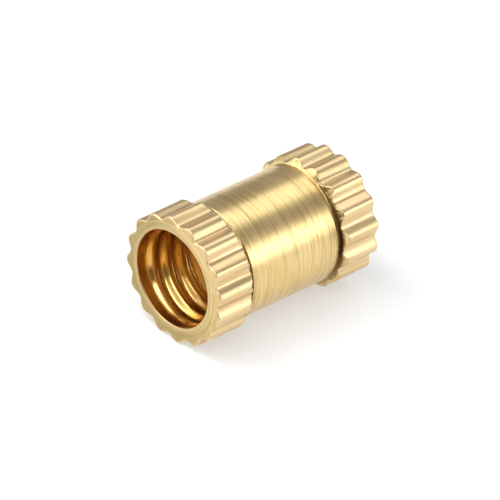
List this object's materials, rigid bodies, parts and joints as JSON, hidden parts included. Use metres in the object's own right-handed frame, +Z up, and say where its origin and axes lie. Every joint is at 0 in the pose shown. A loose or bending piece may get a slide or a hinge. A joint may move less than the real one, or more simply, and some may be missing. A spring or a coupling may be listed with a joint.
{
  "type": "threaded insert",
  "caption": "Brass bush with a straight-knurled band at each end, a plain turned waist and a tapped through hole, moulded or pressed into plastic to take a machine screw.",
  "frame": {"origin": "on the axis of the tapped hole, half way between the two end faces", "axes": "+X along the tapped hole, +Z up with the insert lying on its side, a valley of the knurl facing straight down"},
  "size_m": [0.008, 0.0052, 0.0052],
  "materials": {
    "brass": "bright turned brass, fine turning lines round the waist"
  },
  "bodies": {
    "root": {"threaded_insert": "brass"}
  },
  "joints": []
}
